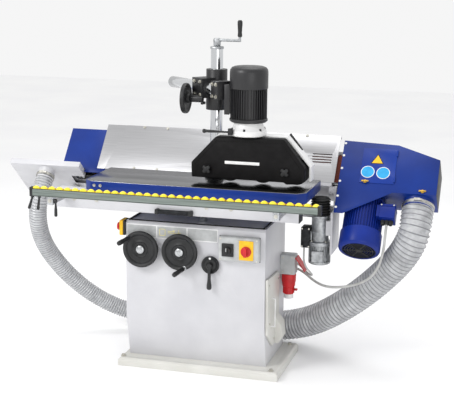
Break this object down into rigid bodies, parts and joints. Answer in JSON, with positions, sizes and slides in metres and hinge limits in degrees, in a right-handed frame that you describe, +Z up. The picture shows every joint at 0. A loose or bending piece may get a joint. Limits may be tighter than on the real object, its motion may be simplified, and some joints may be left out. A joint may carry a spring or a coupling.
{
  "type": "oscillating edge belt sander",
  "caption": "Oscillating edge belt sander with tilting belt unit, lifting table, column-mounted power feeder, roller rail and dust ducts.",
  "frame": {"origin": "on the floor contact mount, a point of the base plate's underside near its middle", "axes": "X right along the machine, Y from the operator's side to the back, Z up"},
  "size_m": [2.136, 0.904, 1.648],
  "materials": {
    "cream_paint": "satin",
    "light_paint": "satin",
    "steel": "turned",
    "grey_plastic": "matte",
    "yellow_plastic": "matte",
    "light_grey_plastic": "matte",
    "cast_aluminium": "cast",
    "black_rubber": "matte",
    "duct_plastic": "ribbed",
    "grey_cable": "matte",
    "red_plastic": "matte",
    "red_gloss": "gloss",
    "black_plastic": "semi-gloss",
    "blue_paint": "ground on top",
    "chrome": "polished",
    "grey_paint": "satin",
    "aluminium": "extruded",
    "black_paint": "satin",
    "cast_iron": "painted",
    "abrasive": "coated abrasive"
  },
  "bodies": {
    "base": {"base_plate": "cream_paint", "cabinet_shell": "light_paint", "lift_sleeve": "steel", "control_box": "grey_plastic", "estop_box": "yellow_plastic", "inlet_box": "light_grey_plastic", "side_cover": "cream_paint", "rear_beam": "light_paint", "trunnion_brackets": "light_paint", "gear_motor": "cast_aluminium", "gear_bellows": "black_rubber", "dust_manifold": "light_paint", "large_duct": "duct_plastic", "small_duct": "duct_plastic", "power_cables": "grey_cable"},
    "power_plug": {"power_plug": "red_plastic"},
    "inlet_lid": {"inlet_lid": "red_plastic"},
    "estop_button": {"estop_button": "red_gloss"},
    "tilt_handwheel": {"tilt_handwheel": "black_plastic"},
    "tilt_wheel_grip": {"tilt_wheel_grip": "black_plastic"},
    "lift_handwheel": {"lift_handwheel": "black_plastic"},
    "lift_wheel_grip": {"lift_wheel_grip": "black_plastic"},
    "clamp_lever": {"clamp_lever": "black_plastic"},
    "main_switch_knob": {"main_switch_knob": "red_gloss"},
    "selector_switch": {"selector_switch": "black_plastic"},
    "table": {"table_top": "blue_paint", "table_apron": "light_paint", "lift_column": "chrome", "column_foot": "grey_paint", "feeder_column": "chrome"},
    "roller_rail": {"roller_rail": "aluminium", "rollers": "yellow_plastic", "rail_arms": "steel"},
    "rail_lever": {"rail_lever": "black_plastic"},
    "column_crank": {"column_crank": "steel"},
    "feeder_block": {"feeder_block": "black_paint"},
    "overarm": {"overarm": "steel", "head_bracket": "black_paint"},
    "arm_handwheel": {"arm_handwheel": "black_plastic"},
    "feeder_head": {"feeder_body": "cream_paint", "feeder_cover": "black_paint", "feeder_gearbox": "cream_paint", "feeder_motor": "black_paint"},
    "feed_wheel_left": {"feed_wheel_left": "black_rubber"},
    "feed_wheel_middle": {"feed_wheel_middle": "black_rubber"},
    "feed_wheel_right": {"feed_wheel_right": "black_rubber"},
    "ratchet_lever": {"ratchet_lever": "black_plastic"},
    "sanding_unit": {"tilt_frame": "light_paint", "guard_panel": "light_paint", "drive_housing": "blue_paint", "main_motor": "blue_paint", "idler_cover": "blue_paint", "end_table": "light_paint"},
    "access_lid": {"access_lid": "blue_paint"},
    "end_table_knob": {"end_table_knob": "black_plastic"},
    "belt_carriage": {"belt_carriage": "cast_iron", "platen": "steel", "sanding_belt": "abrasive"},
    "drive_drum": {"drive_drum": "black_rubber"},
    "idler_drum": {"idler_drum": "steel"}
  },
  "joints": [
    {"name": "table_lift", "type": "slide", "parent": "base", "child": "table", "axis": [0, 0, 1], "range_m": [-0.015, 0.06]},
    {"name": "lift_handwheel_turn", "type": "hinge", "parent": "base", "child": "lift_handwheel", "pos_m": [-0.084, -0.185, 0.585], "axis": [0, -1, 0], "range_deg": [-1350, 5400]},
    {"name": "lift_grip_spin", "type": "hinge", "parent": "lift_handwheel", "child": "lift_wheel_grip", "pos_m": [-0.056, -0.217, 0.513], "axis": [-0.311, -0.9331, -0.1806], "continuous": true},
    {"name": "unit_tilt", "type": "hinge", "parent": "base", "child": "sanding_unit", "pos_m": [0, 0.15, 0.85], "axis": [1, 0, 0], "range_deg": [-5, 40], "deforming": ["large_duct", "small_duct", "power_cables"]},
    {"name": "tilt_handwheel_turn", "type": "hinge", "parent": "base", "child": "tilt_handwheel", "pos_m": [-0.276, -0.185, 0.585], "axis": [0, -1, 0], "range_deg": [-500, 4000]},
    {"name": "tilt_grip_spin", "type": "hinge", "parent": "tilt_handwheel", "child": "tilt_wheel_grip", "pos_m": [-0.326, -0.217, 0.642], "axis": [-0.311, -0.9331, -0.1806], "continuous": true},
    {"name": "clamp_lever_turn", "type": "hinge", "parent": "base", "child": "clamp_lever", "pos_m": [0.06, -0.19, 0.53], "axis": [0, -1, 0], "range_deg": [-60, 60]},
    {"name": "main_switch_turn", "type": "hinge", "parent": "base", "child": "main_switch_knob", "pos_m": [0.24, -0.24, 0.616], "axis": [0, -1, 0], "range_deg": [-90, 0]},
    {"name": "selector_turn", "type": "hinge", "parent": "base", "child": "selector_switch", "pos_m": [0.152, -0.24, 0.617], "axis": [0, -1, 0], "range_deg": [-45, 45]},
    {"name": "estop_push", "type": "slide", "parent": "base", "child": "estop_button", "axis": [1, 0, 0], "range_m": [0, 0.004], "stiffness_N_per_m": 800},
    {"name": "inlet_lid_swing", "type": "hinge", "parent": "base", "child": "inlet_lid", "pos_m": [0.3978, 0.155, 0.509], "axis": [0, 1, 0], "range_deg": [-54, 34]},
    {"name": "plug_pull", "type": "slide", "parent": "base", "child": "power_plug", "axis": [0, 0, -1], "range_m": [0, 0.06]},
    {"name": "rail_adjust", "type": "slide", "parent": "table", "child": "roller_rail", "axis": [0, 1, 0], "range_m": [-0.06, 0.14]},
    {"name": "rail_lever_turn", "type": "hinge", "parent": "roller_rail", "child": "rail_lever", "pos_m": [-0.621, -0.406, 0.831], "axis": [1, 0, 0], "range_deg": [-60, 10]},
    {"name": "feeder_raise", "type": "slide", "parent": "table", "child": "feeder_block", "axis": [0, 0, 1], "range_m": [0, 0.09]},
    {"name": "column_crank_turn", "type": "hinge", "parent": "table", "child": "column_crank", "pos_m": [0.014, 0.048, 1.54], "axis": [0, 0, 1], "range_deg": [-8100, 0]},
    {"name": "overarm_reach", "type": "slide", "parent": "feeder_block", "child": "overarm", "axis": [0.766, -0.6428, 0], "range_m": [-0.01, 0.1]},
    {"name": "arm_handwheel_turn", "type": "hinge", "parent": "feeder_block", "child": "arm_handwheel", "pos_m": [-0.106, -0.044, 1.285], "axis": [1, 0, 0], "range_deg": [-400, 4000]},
    {"name": "head_swivel", "type": "hinge", "parent": "overarm", "child": "feeder_head", "pos_m": [0.208, -0.095, 1.3], "axis": [0, 0, 1], "range_deg": [-4, 10]},
    {"name": "feed_left_spin", "type": "hinge", "parent": "feeder_head", "child": "feed_wheel_left", "pos_m": [0.118, -0.06, 0.97], "axis": [0, 1, 0], "continuous": true},
    {"name": "feed_middle_spin", "type": "hinge", "parent": "feeder_head", "child": "feed_wheel_middle", "pos_m": [0.276, -0.06, 0.97], "axis": [0, 1, 0], "continuous": true},
    {"name": "feed_right_spin", "type": "hinge", "parent": "feeder_head", "child": "feed_wheel_right", "pos_m": [0.434, -0.06, 0.97], "axis": [0, 1, 0], "continuous": true},
    {"name": "ratchet_turn", "type": "hinge", "parent": "feeder_head", "child": "ratchet_lever", "pos_m": [0.142, -0.166, 1.156], "axis": [0, 0, 1], "range_deg": [-60, 30]},
    {"name": "access_lid_swing", "type": "hinge", "parent": "sanding_unit", "child": "access_lid", "pos_m": [0.857, 0.17082, 0.97874], "axis": [0, 0.6428, 0.766], "range_deg": [0, 100]},
    {"name": "end_knob_turn", "type": "hinge", "parent": "sanding_unit", "child": "end_table_knob", "pos_m": [-0.772, 0.21115, 0.75953], "axis": [0, 0.6428, 0.766], "range_deg": [-90, 90]},
    {"name": "belt_oscillation", "type": "slide", "parent": "sanding_unit", "child": "belt_carriage", "axis": [0, 0.6428, 0.766], "range_m": [-0.005, 0.005]},
    {"name": "drive_drum_spin", "type": "hinge", "parent": "belt_carriage", "child": "drive_drum", "pos_m": [0.722, 0.2512, 0.90868], "axis": [0, 0.6428, 0.766], "continuous": true},
    {"name": "idler_drum_spin", "type": "hinge", "parent": "belt_carriage", "child": "idler_drum", "pos_m": [-0.735, 0.2512, 0.90868], "axis": [0, 0.6428, 0.766], "continuous": true}
  ],
  "couplings": [
    {"joint": "lift_handwheel_turn", "follows": "table_lift", "rad_per_m": 1570.8},
    {"joint": "tilt_handwheel_turn", "follows": "unit_tilt", "ratio": 100},
    {"joint": "column_crank_turn", "follows": "feeder_raise", "rad_per_m": -1570.8},
    {"joint": "arm_handwheel_turn", "follows": "overarm_reach", "rad_per_m": 698.13},
    {"joint": "feed_left_spin", "follows": "feed_middle_spin", "ratio": 1},
    {"joint": "feed_right_spin", "follows": "feed_middle_spin", "ratio": 1},
    {"joint": "idler_drum_spin", "follows": "drive_drum_spin", "ratio": 1}
  ]
}
